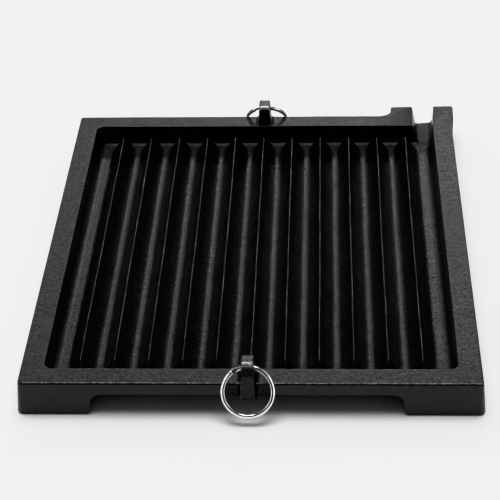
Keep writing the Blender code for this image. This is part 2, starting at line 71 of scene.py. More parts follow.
# =====================================================================
# Driving sizes of the casting
# =====================================================================
HALF_W = 150.0                   # at the rim, in X
HALF_D = 170.0                   # at the rim, in Y
LONGER = HALF_D - HALF_W         # every loop reaches this much further in Y than in X
TOP = 25.0
DRAFT = math.radians(5.0)        # the skirt widens downwards
RIM_W = 15.3
RIM_T = 6.0
ROOF = TOP - RIM_T               # underside of the rim
OUTER_EDGE = 0.75                # edge radii
INNER_EDGE = 0.7
CORNER = 2.4                     # outer corner, in plan
CORNER_FLAT = CORNER - OUTER_EDGE

FLOOR = 10.2                     # height of the tray's floor
INSET = 2.7                      # the tray's wall leans in by this
FLOOR_X = HALF_W - RIM_W - INSET
TRAY_R = 5.5                     # the tray's corners, in plan
COVE = 5.8                       # radius between floor and wall

CREST = 22.2                     # height of the ridges
PITCH = 22.5
COUNT = 11
FLANK = 1.412                    # slope of the ridges' sides
CREST_ROUND = 0.22
CREST_END = 142.2                # where the crest stops, in Y
HIP_START = 140.5                # where the foot starts to narrow
TOE_END = 153.0
TOE_HALF = 3.2
RIDGE_HALF = 8.7

# arched openings in the skirt: their flat tops end here
ARCH_TOP = 15.2
ARCH_L = -96.5
ARCH_R = 92.5
ARCH_SIDE = 118.0
# an arch's end: convex arc, steep straight, concave arc; distances outward, heights
ARCH_ROUND = 7.0
STEEP_FROM = (6.93, 9.17)
STEEP_TO = (7.71, 3.53)
FOOT_ROUND = 3.8
FOOT_AT = 11.5

SKIRT_IN = 144.0                 # inner face at the roof, then at z = 0
SKIRT_IN_FOOT = 146.99
ROOF_FILLET = 1.5
BELLY_Z = 6.2                    # underside of the tray
BELLY_EDGE = 2.6
BELLY_TOP = (137.9, 20.0)        # line of the belly's side: x and z at its two ends
BELLY_FOOT = (135.7, BELLY_Z)
BELLY_R = 6.5


# =====================================================================
# Small maths
# =====================================================================
def smooth(value):
    value = np.clip(value, 0.0, 1.0)
    return value * value * (3 - 2 * value)


def smax(first, second, width):
    """Maximum, with the crease rounded over the given width."""
    near = np.maximum(width - np.abs(first - second), 0.0) / width
    return np.maximum(first, second) + near * near * width * 0.25


def smin(first, second, width):
    return -smax(-first, -second, width)


def waves(seed, lengths):
    """A smooth pseudo-random function of one variable, roughly -1..1."""
    draw = np.random.RandomState(seed)
    parts = [(2 * math.pi / length, draw.uniform(0, 2 * math.pi), draw.uniform(0.6, 1.0))
             for length in lengths]
    total = sum(part[2] for part in parts)

    def wave(value):
        return sum(size * np.sin(rate * value + phase) for rate, phase, size in parts) / total
    return wave


def spaced(start, stop, count):
    """Evenly spaced values, count + 1 of them."""
    return [start + (stop - start) * k / count for k in range(count + 1)]


def arc(centre_x, centre_y, radius, start, stop, count):
    """Points on an arc, angles in degrees."""
    return [(centre_x + radius * math.cos(math.radians(a)),
             centre_y + radius * math.sin(math.radians(a))) for a in spaced(start, stop, count)]


# =====================================================================
# Ridges
# =====================================================================
# centre, sideways drift, slow unevenness and fine nicks of each ridge
RIDGES = [(PITCH * (i - (COUNT - 1) / 2),
           waves(100 + i, (61.0, 143.0, 290.0)),
           waves(200 + i, (23.0, 47.0, 120.0)),
           waves(300 + i, (3.1, 4.7, 7.3))) for i in range(COUNT)]


def ridge_field(x, y):
    """Upper envelope of the ridges, before it is blended into the floor."""
    best = np.full(np.shape(x), -50.0)
    along = np.abs(y)
    # the hip plane goes through the crest end, the base corner and the toe corner
    crest_end = np.array([0.45, CREST_END, CREST - 0.35])
    base_corner = np.array([RIDGE_HALF, HIP_START, FLOOR])
    toe_corner = np.array([TOE_HALF, TOE_END, FLOOR])
    normal = np.cross(base_corner - crest_end, toe_corner - crest_end)
    end = CREST - (along - CREST_END) * (CREST - FLOOR) / (TOE_END - CREST_END)
    for ridge_x, drift, uneven, nicks in RIDGES:
        across = np.abs(x - (ridge_x + 0.22 * drift(y)))
        top = CREST - 0.05 + 0.16 * uneven(y) + 0.07 * nicks(y)
        flank = top - FLANK * (np.sqrt(across ** 2 + CREST_ROUND ** 2) - CREST_ROUND)
        hip = crest_end[2] - (normal[0] * (across - crest_end[0])
                              + normal[1] * (along - crest_end[1])) / normal[2]
        best = np.maximum(best, smin(smin(flank, end, 0.9), hip, 1.1))
    return best


def tray_height(x, y, base):
    """Ridges blended into whatever surface (floor, cove or wall) lies below."""
    return smax(base, ridge_field(x, y), 2.9)


# =====================================================================
# Grid lines over the tray, and the loops that continue them
# =====================================================================
GRID_X = FLOOR_X - TRAY_R        # where the corner arcs start
GRID_Y = FLOOR_X + LONGER - TRAY_R
FAN = 9                          # steps round each corner
KEEP_X = 121.5                   # lines inside these stay put in every loop
KEEP_Y = 133.0
# lines on each side of a ridge's centre
RIDGE_LINES = (0, 0.22, 0.45, 0.75, 1.3, 2.4, 3.8, 5.2, 6.3, 7.0, 7.6, 8.2, 8.8, 9.4, 10.1, 11.25)
# lines outward from the end of an arch's flat top
ARCH_LINES = (0.0, 2.0, 3.5, 4.7, 5.6, 6.2, 6.6, 6.93, 7.15, 7.4, 7.71, 8.0, 8.4, 8.9, 9.5,
              10.3, 11.1, 11.6)


def grid_lines(values, half, gap):
    """Sorted lines from -half to half, leaving out those too close to the one before."""
    lines = []
    for value in sorted(v for v in [-half, half, *values] if abs(v) <= half):
        if not lines or value - lines[-1] > gap:
            lines.append(value)
    lines[0], lines[-1] = -half, half
    return np.array(lines)


MIDDLE = 132.0                   # lines lie closer together beyond this, in Y
XS = grid_lines([ridge[0] + s * d for ridge in RIDGES for d in RIDGE_LINES for s in (-1, 1)]
                + [ARCH_R + u for u in ARCH_LINES] + [ARCH_L - u for u in ARCH_LINES],
                GRID_X, 0.16)
YS = grid_lines(list(np.arange(-MIDDLE, MIDDLE + 0.01, 2.2))
                + [s * v for s in (-1, 1) for v in np.arange(MIDDLE, GRID_Y, 0.8)]
                + [s * (ARCH_SIDE + u) for s in (-1, 1) for u in ARCH_LINES],
                GRID_Y, 0.2)
COLS, ROWS = len(XS), len(YS)


def stretch(lines, keep, new_end):
    """Moves the lines beyond keep so that the last ones end at new_end."""
    size = np.abs(lines)
    moved = np.where(size > keep,
                     keep + (size - keep) * (new_end - keep) / (lines[-1] - keep), size)
    return np.sign(lines) * moved


def around(sides, fans):
    """One loop: front side, corner, right side, corner, back, corner, left, corner."""
    return [item for side, fan in zip(sides, fans) for item in [*side, *fan]]


# directions inside each corner's arc
FANS = [[(math.cos(math.radians(start + 90.0 * k / FAN)),
          math.sin(math.radians(start + 90.0 * k / FAN))) for k in range(1, FAN)]
        for start in (-90, 0, 90, 180)]
LOOP_NORMALS = np.array(around([[(0, -1)] * COLS, [(1, 0)] * ROWS,
                                [(0, 1)] * COLS, [(-1, 0)] * ROWS], FANS), float)


def plan_loop(half_x, radius):
    """Plan of a loop: a rounded rectangle."""
    half_y = half_x + LONGER
    in_x, in_y = half_x - radius, half_y - radius
    line_x = stretch(XS, KEEP_X, in_x)
    line_y = stretch(YS, KEEP_Y, in_y)
    sides = [[(x, -half_y) for x in line_x], [(half_x, y) for y in line_y],
             [(x, half_y) for x in line_x[::-1]], [(-half_x, y) for y in line_y[::-1]]]
    centres = [(in_x, -in_y), (in_x, in_y), (-in_x, in_y), (-in_x, -in_y)]
    fans = [[(x + radius * dx, y + radius * dy) for dx, dy in fan]
            for (x, y), fan in zip(centres, FANS)]
    return np.array(around(sides, fans))


def arch_end(outward):
    """Height of the skirt's lower edge at a distance outward from an arch's flat top."""
    (x1, z1), (x2, z2) = STEEP_FROM, STEEP_TO
    z = np.where(outward <= 0, ARCH_TOP, 0.0)
    upper = ARCH_TOP - ARCH_ROUND + np.sqrt(np.maximum(ARCH_ROUND ** 2 - outward ** 2, 0))
    z = np.where((outward > 0) & (outward <= x1), upper, z)
    steep = z1 + (outward - x1) / (x2 - x1) * (z2 - z1)
    z = np.where((outward > x1) & (outward <= x2), steep, z)
    foot = FOOT_ROUND - np.sqrt(np.maximum(FOOT_ROUND ** 2 - (outward - FOOT_AT) ** 2, 0))
    return np.where((outward > x2) & (outward <= FOOT_AT), foot, z)


def lower_edge():
    """Height of the skirt's lower edge at each point of a loop."""
    skirt_x = stretch(XS, KEEP_X, HALF_W - CORNER)
    skirt_y = stretch(YS, KEEP_Y, HALF_D - CORNER)
    under_x = arch_end(np.maximum(skirt_x - ARCH_R, ARCH_L - skirt_x))
    under_y = arch_end(np.abs(skirt_y) - ARCH_SIDE)
    return np.array(around([under_x, under_y, under_x[::-1], under_y[::-1]],
                           [[0.0] * (FAN - 1)] * 4))


LOWER = lower_edge()
sag_one = waves(11, (37.0, 83.0, 190.0))
sag_two = waves(12, (29.0, 71.0, 160.0))


def rim_wave(plan):
    """The rim isn't perfectly flat: about a tenth of a millimetre."""
    x, y = plan[:, 0], plan[:, 1]
    return 0.07 * (sag_one(x + 0.6 * y) + sag_two(y - 0.4 * x))


# =====================================================================
# The casting: the tray grid, then loops outwards, down and underneath
# =====================================================================
class Shell:
    """Vertices and faces, grown from the tray grid one loop at a time."""

    def __init__(self):
        x, y = np.meshgrid(XS, YS)
        z = tray_height(x, y, FLOOR)
        self.verts = list(zip(x.ravel(), y.ravel(), z.ravel()))
        self.faces = [(a, a + 1, a + 1 + COLS, a + COLS)
                      for j in range(ROWS - 1) for a in range(j * COLS, j * COLS + COLS - 1)]
        left = [j * COLS for j in range(ROWS)]
        right = [j + COLS - 1 for j in left]
        back = list(range(left[-1], left[-1] + COLS))
        corners = (COLS - 1, right[-1], left[-1], 0)
        self.last = around([range(COLS), right, back[::-1], left[::-1]],
                           [[c] * (FAN - 1) for c in corners])

    def add(self, plan, heights):
        """Adds a loop and joins it to the last one."""
        first, size = len(self.verts), len(plan)
        heights = np.broadcast_to(heights, size)
        self.verts.extend((x, y, z) for (x, y), z in zip(plan, heights))
        new = list(range(first, first + size))
        for k in range(size):
            m = (k + 1) % size
            corners = tuple(dict.fromkeys((self.last[k], new[k], new[m], self.last[m])))
            if len(corners) > 2:
                self.faces.append(corners)
        self.last = new


LEAN = math.atan2(INSET, TOP - FLOOR)
WALL_TURN = QUARTER - LEAN
EDGE_RUN = INNER_EDGE * math.tan(WALL_TURN / 2)


def wall_profile():
    """The tray's wall from floor to rim: (distance outside the floor line, z)."""
    profile = [(-5.3, FLOOR), (-5.05, FLOOR)]
    cove_run = COVE * math.tan(WALL_TURN / 2)
    profile += [(-cove_run + COVE * math.sin(a), FLOOR + COVE * (1 - math.cos(a)))
                for a in spaced(0, WALL_TURN, 8)]
    low_x, low_z = profile[-1]
    high_x = INSET - EDGE_RUN * math.sin(LEAN)
    high_z = TOP - EDGE_RUN * math.cos(LEAN)
    profile += list(zip(spaced(low_x, high_x, 8), spaced(low_z, high_z, 8)))[1:-1]
    profile += [(INSET + EDGE_RUN - INNER_EDGE * math.sin(a),
                 TOP - INNER_EDGE + INNER_EDGE * math.cos(a)) for a in spaced(WALL_TURN, 0, 5)]
    return profile


def add_wall(shell):
    for out, z in wall_profile():
        plan = plan_loop(FLOOR_X + out, max(min(TRAY_R, TRAY_R + out), 0.4))
        heights = tray_height(plan[:, 0], plan[:, 1], z) if z < CREST - 2 else z
        shell.add(plan, heights + rim_wave(plan) * smooth((z - 20) / 5))


def add_rim(shell):
    inner, outer = HALF_W - RIM_W + EDGE_RUN, HALF_W - OUTER_EDGE
    for part in spaced(0, 1, 10)[1:-1]:
        plan = plan_loop(inner + (outer - inner) * part,
                         TRAY_R + (CORNER_FLAT - TRAY_R) * part)
        shell.add(plan, TOP + rim_wave(plan))
    for a in spaced(0, QUARTER - DRAFT, 6):
        out = OUTER_EDGE * math.sin(a)
        plan = plan_loop(outer + out, CORNER_FLAT + out)
        shell.add(plan, TOP - OUTER_EDGE + OUTER_EDGE * math.cos(a) + rim_wave(plan))


SKIRT_PLAN = plan_loop(HALF_W, CORNER)


def outer_face(z, inward=0.0):
    """Plan of the skirt's outer face at the heights z."""
    grow = (TOP - z) * math.tan(DRAFT) - inward
    return SKIRT_PLAN + LOOP_NORMALS * grow[:, None]


def inner_face(z, outward=0.0):
    grow = SKIRT_IN + (ROOF - z) * (SKIRT_IN_FOOT - SKIRT_IN) / ROOF + outward - HALF_W
    return SKIRT_PLAN + LOOP_NORMALS * grow[:, None]


def add_skirt(shell):
    start = TOP - OUTER_EDGE + OUTER_EDGE * math.sin(DRAFT)
    radius = np.where(LOWER > 8.0, 1.3, 1.1)
    base = LOWER + radius
    for part in spaced(0, 1, 11)[1:]:
        z = start + (base - start) * part
        shell.add(outer_face(z), z)
    for a in spaced(DRAFT, QUARTER, 6)[1:]:      # lower outer edge
        shell.add(outer_face(base, radius * (1 - math.cos(a))), base - radius * math.sin(a))
    radius = 1.0
    base = LOWER + radius
    for a in spaced(QUARTER, math.radians(2.0), 4):      # lower inner edge
        shell.add(inner_face(base, radius * (1 - math.cos(a))), base - radius * math.sin(a))
    for part in spaced(0, 1, 3)[1:]:             # inner face, up to the roof's fillet
        z = base + (ROOF - ROOF_FILLET - base) * part
        shell.add(inner_face(z), z)


def add_underside(shell):
    fillet_z = ROOF - ROOF_FILLET
    for a in spaced(0, QUARTER, 4)[1:]:          # from the skirt onto the roof
        shell.add(plan_loop(144.2 - ROOF_FILLET * (1 - math.cos(a)), 3.4),
                  fillet_z + ROOF_FILLET * math.sin(a))
    slope = (BELLY_TOP[0] - BELLY_FOOT[0]) / (BELLY_TOP[1] - BELLY_FOOT[1])
    side = BELLY_TOP[0] - slope * (BELLY_TOP[1] - ROOF)
    for a in spaced(0, QUARTER, 4):              # from the roof down onto the belly
        shell.add(plan_loop(side + ROOF_FILLET * (1 - math.sin(a)), BELLY_R),
                  fillet_z + ROOF_FILLET * math.cos(a))
    for a in spaced(0, QUARTER, 5):              # the belly's rounded lower edge
        shell.add(plan_loop(135.9 - BELLY_EDGE * (1 - math.cos(a)), BELLY_R),
                  BELLY_Z + BELLY_EDGE - BELLY_EDGE * math.sin(a))
    for half_x in (131.0, 127.6):
        shell.add(plan_loop(half_x, 3.0), BELLY_Z)
    shell.faces.append(tuple(shell.last))


def write_mesh(build, mesh):
    """Turns all faces outward and stores the bmesh."""
    bmesh.ops.recalc_face_normals(build, faces=build.faces[:])
    if build.calc_volume(signed=True) < 0:
        bmesh.ops.reverse_faces(build, faces=build.faces[:])
    build.to_mesh(mesh)
    build.free()


def shade(mesh, sharp_degrees):
    for poly in mesh.polygons:
        poly.use_smooth = True
    mesh.set_sharp_from_angle(angle=math.radians(sharp_degrees))


def make_casting():
    shell = Shell()
    add_wall(shell)
    add_rim(shell)
    add_skirt(shell)
    add_underside(shell)
    mesh = bpy.data.meshes.new("casting")
    mesh.from_pydata((np.array(shell.verts, float) * MM).tolist(), [], shell.faces)
    made = bpy.data.objects.new("casting", mesh)
    bpy.context.scene.collection.objects.link(made)
    build = bmesh.new()
    build.from_mesh(mesh)
    bmesh.ops.remove_doubles(build, verts=build.verts[:], dist=1e-7)
    write_mesh(build, mesh)
    return made


casting = make_casting()
tools = bpy.data.collections.new("tools")
bpy.context.scene.collection.children.link(tools)


def loft(rings):
    """A closed body through rings of points in mm."""
    build = bmesh.new()
    rows = [[build.verts.new([c * MM for c in point]) for point in ring] for ring in rings]
    size = len(rows[0])
    for low, high in zip(rows, rows[1:]):
        for i in range(size):
            j = (i + 1) % size
            build.faces.new((low[i], low[j], high[j], high[i]))
    build.faces.new(rows[0][::-1])
    build.faces.new(rows[-1])
    return build


def combine(name, rings, operation):
    """Lofts a body and joins it to the casting, or cuts it out."""
    mesh = bpy.data.meshes.new(name)
    write_mesh(loft(rings), mesh)
    body = bpy.data.objects.new(name, mesh)
    tools.objects.link(body)
    before = len(casting.data.vertices)
    # the exact solver takes over where the first one gives nothing or changes nothing
    for solver in ("MANIFOLD", "EXACT"):
        modifier = casting.modifiers.new("b", "BOOLEAN")
        modifier.operation = operation
        modifier.solver = solver
        modifier.object = body
        depsgraph = bpy.context.evaluated_depsgraph_get()
        depsgraph.update()
        done = bpy.data.meshes.new_from_object(casting.evaluated_get(depsgraph))
        casting.modifiers.remove(modifier)
        if len(done.vertices) > 3 and len(done.vertices) != before:
            old, casting.data = casting.data, done
            bpy.data.meshes.remove(old)
            break
        bpy.data.meshes.remove(done)
    bpy.data.objects.remove(body, do_unlink=True)


# =====================================================================
# Spout, and the notch that leads from the tray into it
# =====================================================================
SPOUT_L = 102.3                  # left side
REACH = 184.4                    # how far back it goes
SPOUT_COVE = (11.5, 8.5)         # sweep from the plate's back into the left side
LIP_R = 1.9                      # corners of the lip, in plan
KICK = 2.8                       # how far it stands out to the right of the plate
LIP_STEP = 1.2                   # the lip's right end lies this much further back
SPOUT_EDGE = 0.8
SPOUT_FOOT_EDGE = 1.9
SPOUT_DEPTH = 16.4               # from the rim to the start of the lower edge


def spout_outline(inset, drop):
    """Plan outline at a depth below the rim; it grows with draft and shrinks by inset."""
    cove_x, cove_y = SPOUT_COVE
    grow = drop * math.tan(DRAFT)
    grow_x, grow_y = grow * 0.12, grow * 0.4
    left = SPOUT_L - grow_x + inset
    reach = REACH + grow_y - inset
    right = HALF_W + KICK + grow_x - inset
    root = HALF_D + grow - inset - 0.05
    start = SPOUT_L - cove_x
    inner_y = HALF_D - 14.8
    inner_x = HALF_W - 13.0
    front_y = HALF_D - 38.0
    points = [(start - 9.0, inner_y), (start - 9.0, root - 1.2), (start - 4.5, root - 0.25)]
    points += [(left - cove_x * (1 - math.sin(a)), root + cove_y * (1 - math.cos(a)))
               for a in spaced(0, QUARTER, 10)]
    points += arc(left + LIP_R, reach - LIP_R, LIP_R, 180, 90, 7)
    points += arc(right - LIP_R, reach + LIP_STEP - LIP_R, LIP_R, 90, 0, 7)
    points += [(right - 0.6, HALF_D - 4.0), (HALF_W - 0.7 - inset, front_y),
               (inner_x, front_y), (inner_x, inner_y)]
    return points


def spout():
    levels = [(SPOUT_EDGE * (1 - math.cos(a)), 0.0,      # inset, drop, z
               TOP + 0.04 - SPOUT_EDGE * (1 - math.sin(a))) for a in spaced(QUARTER, 0, 5)]
    levels += [(0.0, drop, TOP - drop) for drop in (5.0, 9.0, 13.0, SPOUT_DEPTH)]
    levels += [(SPOUT_FOOT_EDGE * (1 - math.cos(a)), 17.0,
                TOP - SPOUT_DEPTH - SPOUT_FOOT_EDGE * math.sin(a))
               for a in spaced(0, QUARTER, 4)[1:]]
    return [[(x, y, z) for x, y in spout_outline(inset, drop)] for inset, drop, z in levels]


LIP_FLOOR = 9.6
NOTCH_EDGE = 0.7
# y, share of the lip's shape, widening, floor height
NOTCH = [
    (HALF_D - 27.0, 0.00, 0.0, FLOOR - 0.02),
    (HALF_D - 21.0, 0.10, 0.0, FLOOR - 0.03),
    (HALF_D - 14.0, 0.25, 0.0, FLOOR - 0.10),
    (HALF_D - 2.0, 0.60, 0.0, 9.9),
    (REACH - 2.4, 1.00, 0.0, LIP_FLOOR),
    *[(REACH - 0.8 + 0.8 * math.sin(a), 1.0, 0.8 * (1 - math.cos(a)),
       LIP_FLOOR - 0.9 * (1 - math.cos(a))) for a in spaced(0, QUARTER, 6)[1:]],
    (REACH + 4.0, 1.00, 3.2, 7.0)]


def notch_section(y, lip, widen, floor_z):
    """Section across the notch, open upwards, with eased upper edges."""
    edge = NOTCH_EDGE
    left = 119.0 + 0.8 * lip - widen
    right = 134.7 + 2.3 * lip + widen
    foot = left + 3.6 - 0.8 * lip
    round_r = 5.5 - 1.7 * min(1.0, lip / 0.25)   # the right corner tightens towards the lip
    section = [(left - edge - 0.1, TOP + 2.0), (left - edge - 0.1, TOP + 0.06)]
    section += arc(left - edge, TOP - edge, edge, 86, 12, 6)
    section += arc(foot + 2.0, floor_z + 2.0, 2.0, 190, 270, 6)
    section += arc(right - 0.6 - round_r, floor_z + round_r, round_r, 270, 355, 9)
    section += arc(right + edge, TOP - edge, edge, 172, 94, 6)
    section += [(right + edge + 0.1, TOP + 0.06), (right + edge + 0.1, TOP + 2.0)]
    skew = LIP_STEP if y > REACH - 2.0 else 0.0
    return [(x, y + skew * smooth((x - left) / (right - left)), z) for x, z in section]


combine("spout", spout(), "UNION")
combine("notch", [notch_section(*row) for row in NOTCH], "DIFFERENCE")

# =====================================================================
# Lugs
# =====================================================================
LUG_TOP = 41.0
LUG_FOOT = 13.6
LUG_HALF = (4.1, 5.7)                            # half width at top and foot
LUG_IN = {-1: (159.2, 153.8), 1: (156.8, 154.0)}         # inner face at top and foot, by side
SHOULDER_IN = 3.1
SHOULDER_OUT = 2.3
LUG_EDGE = 1.1
LUG_FOOT_EDGE = 2.0
LUG_LEVELS = (39.4, 38.9, 38.4, 37.9, 36.9, 35.9, 35.0, 34.2, 33.4, 32.6, 31.8, 31.0, 29.0,
              27.0, 25.0, 22.0, 19.0, 16.6)      # between the rounded edges
RIM_FILLET = 2.8
FACE_FILLET = 2.3
EYE_R = 3.2
EYE_EASE = 0.9


def between(top_foot, z):
    top, foot = top_foot
    return top + (foot - top) * (LUG_TOP - z) / (LUG_TOP - LUG_FOOT)


def lug_outer(z):
    """The outer face leans back more over its upper third."""
    drop = LUG_TOP - z
    return 170.4 + smin(0.455 * (drop - 1.8), 3.2 + 0.04 * (drop - 8.8), 0.9)


def shoulder(radius, drop):
    """How far a rounded shoulder cuts in at a depth below the lug's top."""
    if drop >= radius:
        return 0.0
    return radius - math.sqrt(max(radius ** 2 - (radius - drop) ** 2, 0.0))


def placed(points, lug_x, side, z):
    """A plan outline moved to the front (side -1) or back (side 1) lug."""
    return [(lug_x + x, side * y, z) for x, y in points]


def lug(lug_x, side):
    """Sections from the top down: tapered tab with round shoulders and soft edges."""
    levels = [(LUG_TOP - LUG_EDGE + LUG_EDGE * math.cos(a),      # z, side cut, outer cut
               LUG_EDGE * (1 - math.sin(a)), 0.0) for a in spaced(0, QUARTER, 8)]
    levels += [(z, 0.0, 0.0) for z in LUG_LEVELS]
    for a in spaced(0, QUARTER, 4)[1:]:
        cut = LUG_FOOT_EDGE * (1 - math.cos(a))
        levels.append((LUG_FOOT + LUG_FOOT_EDGE - LUG_FOOT_EDGE * math.sin(a), 0.4 * cut, cut))
    rings = []
    for z, side_cut, outer_cut in levels:
        drop = LUG_TOP - z
        half = between(LUG_HALF, z) - side_cut - LUG_EDGE
        inner = between(LUG_IN[side], z) + shoulder(SHOULDER_IN, drop) + LUG_EDGE
        outer = float(lug_outer(z)) - shoulder(SHOULDER_OUT, drop) - outer_cut - LUG_EDGE
        points = []
        for x, y, start in ((half, outer, 0), (-half, outer, 90),
                            (-half, inner, 180), (half, inner, 270)):
            points += arc(x, y, LUG_EDGE, start, start + 90, 5)
        rings.append(placed(points, lug_x, side, z))
    return rings


def rim_fillet(lug_x, side):
    """Fillet round the lug's foot on top of the rim."""
    rings = []
    for k, a in enumerate(spaced(0, QUARTER, 8)):
        z = TOP + RIM_FILLET * (1 - math.cos(a)) if k else TOP - 0.6
        out = RIM_FILLET * (1 - math.sin(a))
        half = between(LUG_HALF, z) + out - 0.03
        inner = between(LUG_IN[side], z) - 0.08 * out + 0.03
        outer = HALF_D - OUTER_EDGE - 0.2
        corner = min(0.95 + 0.7 * out, 0.5 * half)
        points = [(half, outer), (-half, outer)]
        points += arc(-half + corner, inner + corner, corner, 180, 270, 6)
        points += arc(half - corner, inner + corner, corner, 270, 360, 6)
        rings.append(placed(points, lug_x, side, z))
    return rings


def face_fillet(lug_x, side):
    """Fillets between the lug's sides and the skirt's outer face."""
    rings = []
    # z, how far the fillet is tucked into the face
    for z, tuck in ((ARCH_TOP + 1.5, 0.0), (TOP - 2.6, 0.0), (TOP - 1.5, 0.25), (TOP - 0.9, 0.75)):
        face = HALF_D + (TOP - z) * math.tan(DRAFT) + 0.04 - tuck
        reach = between(LUG_HALF, z) - 0.04 + FACE_FILLET
        points = [(-reach, face - 1.0), (reach, face - 1.0)]
        points += arc(reach, face + FACE_FILLET, FACE_FILLET, 270, 182, 7)
        points += arc(-reach, face + FACE_FILLET, FACE_FILLET, -2, -90, 7)
        rings.append(placed(points, lug_x, side, z))
    return rings


def eye(lug_x, centre_y, centre_z):
    """A hole straight through in X, with both mouths eased."""
    half = between(LUG_HALF, centre_z)
    mouth = EYE_R + EYE_EASE
    profile = [(-15.0, mouth), (-half - 0.02, mouth)]    # distance along X, radius
    profile += [(-half - 0.02 + EYE_EASE * math.sin(a), EYE_R + EYE_EASE * (1 - math.sin(a)))
                for a in spaced(0, QUARTER, 5)[1:]]
    profile += [(-x, radius) for x, radius in profile[::-1]]
    return [[(lug_x + x, y, z) for y, z in
             arc(centre_y, centre_z, radius, 0, 360, 40)[:-1]] for x, radius in profile]


for ring_body, side, lug_x in (("front_ring", -1, -0.8), ("back_ring", 1, 0.3)):
    eye_y, eye_z = [c / MM for c in JOINTS[ring_body]["pos_m"]][1:]
    combine(ring_body + "_lug", lug(lug_x, side), "UNION")
    combine(ring_body + "_rimf", rim_fillet(lug_x, side), "UNION")
    combine(ring_body + "_facef", face_fillet(lug_x, side), "UNION")
    combine(ring_body + "_drill", eye(lug_x, eye_y, eye_z), "DIFFERENCE")

shade(casting.data, 38)
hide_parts("grill_plate")
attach(casting, "plate")

# =====================================================================
# Split rings: nearly two turns of flat-sided wire that cross over once
# =====================================================================
RING_D = 35.2                    # outer diameter
WIRE_W = 2.9
WIRE_T = 1.35
COIL_GAP = 0.10
HANG = math.radians(28.5)        # the ring's tilt away from upright
CROSSING = math.radians(47.0)    # angle over which the wire changes sides
CROWN = -0.20 * WIRE_W           # the round side is highest here, inside the wire's middle
WIRE_EDGE = 0.16                 # thickness left at the round side's edges
END_STEPS = (0.0, 0.004, 0.010, 0.018)           # stations at each rounded end, in radians


def wire_section(round_side, bulge):
    """Outer to inner edge on the +1 side, then back on the other: (radial, sideways)."""
    points = []
    for side, order in ((1, range(19)), (-1, range(18, -1, -1))):
        for k in order:
            across, rise = math.cos(math.pi * k / 18), math.sin(math.pi * k / 18)
            if side == round_side:
                width = (WIRE_W / 2 - CROWN) if across > 0 else (CROWN + WIRE_W / 2)
                radial = CROWN + width * across
                high = -WIRE_T / 2 + WIRE_EDGE + (WIRE_T - WIRE_EDGE) * max(rise, 0.0) ** 0.9
            else:
                radial = across * (WIRE_W / 2 - 0.12)
                high = WIRE_T / 2 + bulge * (1 - across * across)
            points.append((radial, side * high))
    return points


def split_ring(name, body, side, cross_at):
    """cross_at is the crossing's angle from the ring's top."""
    mean_r = (RING_D - WIRE_W) / 2
    step_out = (WIRE_T + COIL_GAP) / 2
    sweep = 4 * math.pi - CROSSING
    stations = [*END_STEPS, *spaced(0, sweep, 300)[1:-1], *(sweep - e for e in END_STEPS[::-1])]
    hook = Vector([c / MM for c in JOINTS[body]["pos_m"]])
    hook_x, hook_y, hook_z = [c / MM for c in JOINTS[body]["pos_m"]]
    turned = (Matrix.Rotation(math.pi if side < 0 else 0.0, 4, 'Z')
              @ Matrix.Rotation(HANG, 4, 'X'))
    rings = []
    for run in stations:
        angle = cross_at + CROSSING / 2 + run
        crossed = min(1.0, max(0.0, (run - (2 * math.pi - CROSSING)) / CROSSING))
        shift = step_out * (1 - 2 * smooth(crossed))
        from_end = min(1.0, min(run, sweep - run) / END_STEPS[-1])
        shrink = 0.80 + 0.20 * math.sqrt(max(0.0, 1 - (1 - from_end) ** 2))
        radial = Vector((math.sin(angle), 0.0, math.cos(angle)))
        blend = smooth(0.5 + 0.5 * shift / step_out)     # which way the round side faces
        bulge = 0.12 * math.sin(math.pi * crossed)
        ring = []
        for first, second in zip(wire_section(1, bulge), wire_section(-1, bulge)):
            out, aside = [float(a * blend + b * (1 - blend)) for a, b in zip(first, second)]
            point = turned @ (radial * (mean_r + out * shrink)
                              + Vector((0.0, shift + aside * shrink, -mean_r)))
            ring.append((hook_x + point.x, hook_y + point.y, hook_z + point.z))
        rings.append(ring)
    mesh = bpy.data.meshes.new(name)
    write_mesh(loft(rings), mesh)
    shade(mesh, 40)
    made = bpy.data.objects.new(name, mesh)
    bpy.context.scene.collection.objects.link(made)
    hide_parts(body)
    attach(made, body)
    return made


split_rings = [split_ring("front_split_ring", "front_ring", -1, math.radians(14.5)),
               split_ring("back_split_ring", "back_ring", 1, math.radians(-9.0))]


